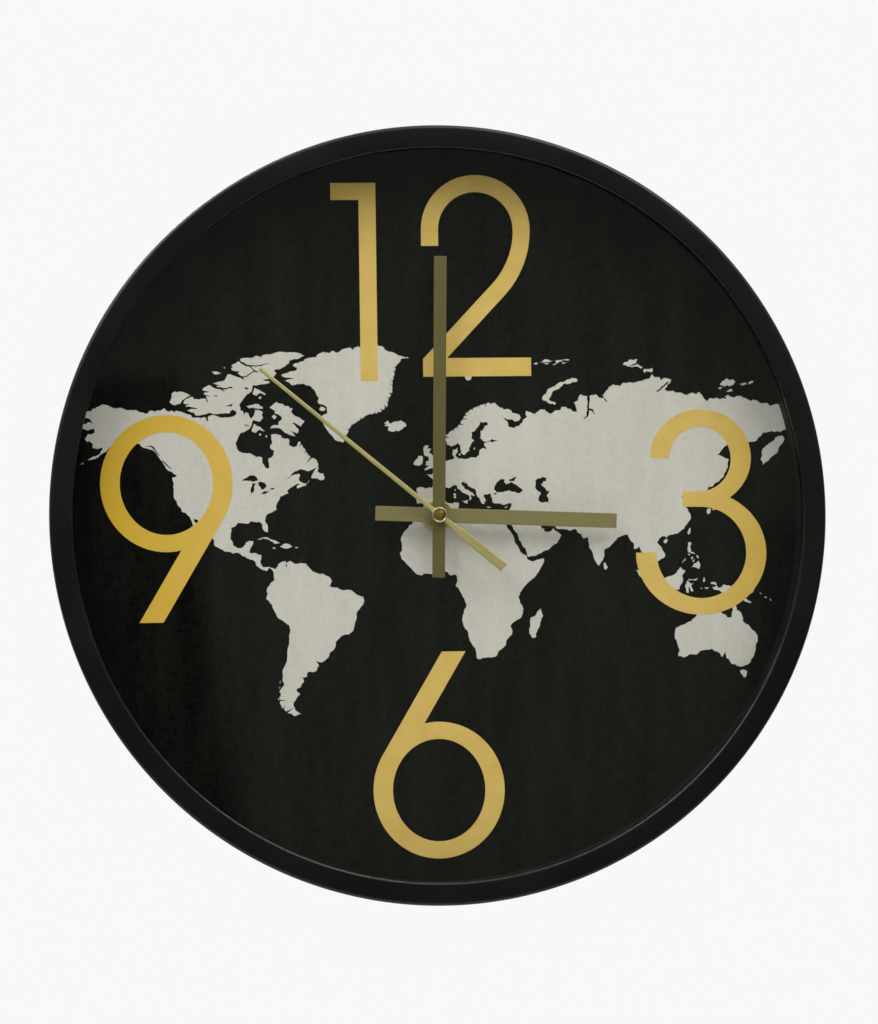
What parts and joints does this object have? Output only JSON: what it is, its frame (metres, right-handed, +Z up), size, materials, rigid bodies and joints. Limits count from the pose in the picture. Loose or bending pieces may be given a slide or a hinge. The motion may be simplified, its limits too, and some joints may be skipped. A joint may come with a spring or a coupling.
{
  "type": "wall clock",
  "caption": "Round wall clock with a deep plastic frame, flat lens, world map dial, three straight hands and a battery quartz movement behind the dial.",
  "frame": {"origin": "on the hands' axis, in the plane of the wall behind the clock", "axes": "+X to the right as seen from the front, +Y from the dial to the wall, +Z up"},
  "size_m": [0.3, 0.0413, 0.3],
  "materials": {
    "frame_plastic": "moulded, satin black",
    "lens_glass": "polished",
    "inner_black": "moulded, matt black",
    "dial_print": "printed sheet with a linen look",
    "back_plastic": "moulded, fine grain",
    "hand_gold": "stamped, brushed, dark gold",
    "second_gold": "stamped, light gold",
    "cap_brass": "polished",
    "brass": "turned",
    "steel": "zinc plated",
    "seal_rubber": "moulded",
    "case_plastic": "moulded, fine grain",
    "wheel_plastic": "moulded, natural",
    "magnet": "sintered",
    "copper_wire": "enamelled winding",
    "bobbin_plastic": "moulded, natural",
    "board": "lacquered laminate",
    "resin": "cast drop",
    "cell_wrap": "plain shrunk wrap over a steel can"
  },
  "bodies": {
    "case": {"bezel_frame": "frame_plastic", "lens": "lens_glass", "spacer_ring": "inner_black", "dial": "dial_print", "back_plate": "back_plastic", "plate_screw_1": "steel", "plate_screw_2": "steel", "plate_screw_3": "steel", "plate_screw_4": "steel", "plate_screw_5": "steel", "plate_screw_6": "steel", "rubber_washer": "seal_rubber", "brass_washer": "brass", "shaft_nut": "brass", "movement_front_case": "case_plastic", "middle_plate": "wheel_plastic", "movement_rear_cover": "case_plastic", "shaft_bush": "brass", "stator": "steel", "coil_core": "steel", "coil_bobbin": "bobbin_plastic", "coil_winding": "copper_wire", "circuit_board": "board", "driver_chip": "resin", "quartz_crystal": "steel", "positive_contact": "steel", "negative_contact": "steel"},
    "hour": {"hour_wheel": "wheel_plastic", "hour_hand": "hand_gold"},
    "minute": {"minute_arbor": "brass", "minute_hand": "hand_gold"},
    "second": {"second_wheel": "wheel_plastic", "second_arbor": "steel", "second_hand": "second_gold", "second_hand_cap": "cap_brass"},
    "third": {"third_wheel": "wheel_plastic"},
    "centre": {"centre_wheel": "wheel_plastic"},
    "intermediate": {"intermediate_wheel": "wheel_plastic"},
    "rotor": {"rotor_pinion": "wheel_plastic", "rotor_magnet": "magnet"},
    "motion": {"motion_wheel": "wheel_plastic"},
    "setting": {"setting_wheel": "wheel_plastic", "setting_knob": "case_plastic"},
    "cell": {"battery": "cell_wrap"}
  },
  "joints": [
    {"name": "minute_hand_turn", "type": "hinge", "parent": "case", "child": "minute", "pos_m": [0, 0, 0], "axis": [0, 1, 0], "continuous": true},
    {"name": "hour_hand_turn", "type": "hinge", "parent": "case", "child": "hour", "pos_m": [0, 0, 0], "axis": [0, 1, 0], "continuous": true},
    {"name": "second_hand_turn", "type": "hinge", "parent": "case", "child": "second", "pos_m": [0, 0, 0], "axis": [0, 1, 0], "continuous": true},
    {"name": "third_wheel_turn", "type": "hinge", "parent": "case", "child": "third", "pos_m": [0.00919, 0, 0.00644], "axis": [0, 1, 0], "continuous": true},
    {"name": "centre_wheel_turn", "type": "hinge", "parent": "case", "child": "centre", "pos_m": [0, 0, 0], "axis": [0, 1, 0], "continuous": true},
    {"name": "intermediate_wheel_turn", "type": "hinge", "parent": "case", "child": "intermediate", "pos_m": [-0.00947, 0, 0.00345], "axis": [0, 1, 0], "continuous": true},
    {"name": "rotor_turn", "type": "hinge", "parent": "case", "child": "rotor", "pos_m": [-0.01443, 0, 0.01053], "axis": [0, 1, 0], "continuous": true},
    {"name": "motion_wheel_turn", "type": "hinge", "parent": "case", "child": "motion", "pos_m": [0.00766, 0, -0.00643], "axis": [0, 1, 0], "continuous": true},
    {"name": "setting_knob_turn", "type": "hinge", "parent": "case", "child": "setting", "pos_m": [0.01812, 0, -0.00734], "axis": [0, 1, 0], "continuous": true},
    {"name": "battery_lift", "type": "slide", "parent": "case", "child": "cell", "axis": [0, 1, 0], "range_m": [0, 0.018]}
  ],
  "couplings": [
    {"joint": "hour_hand_turn", "follows": "minute_hand_turn", "ratio": 0.083333},
    {"joint": "motion_wheel_turn", "follows": "minute_hand_turn", "ratio": -0.33333},
    {"joint": "setting_knob_turn", "follows": "minute_hand_turn", "ratio": 0.83333},
    {"joint": "rotor_turn", "follows": "second_hand_turn", "ratio": 30},
    {"joint": "intermediate_wheel_turn", "follows": "second_hand_turn", "ratio": -6},
    {"joint": "third_wheel_turn", "follows": "second_hand_turn", "ratio": -0.13333},
    {"joint": "centre_wheel_turn", "follows": "second_hand_turn", "ratio": 0.016667}
  ]
}
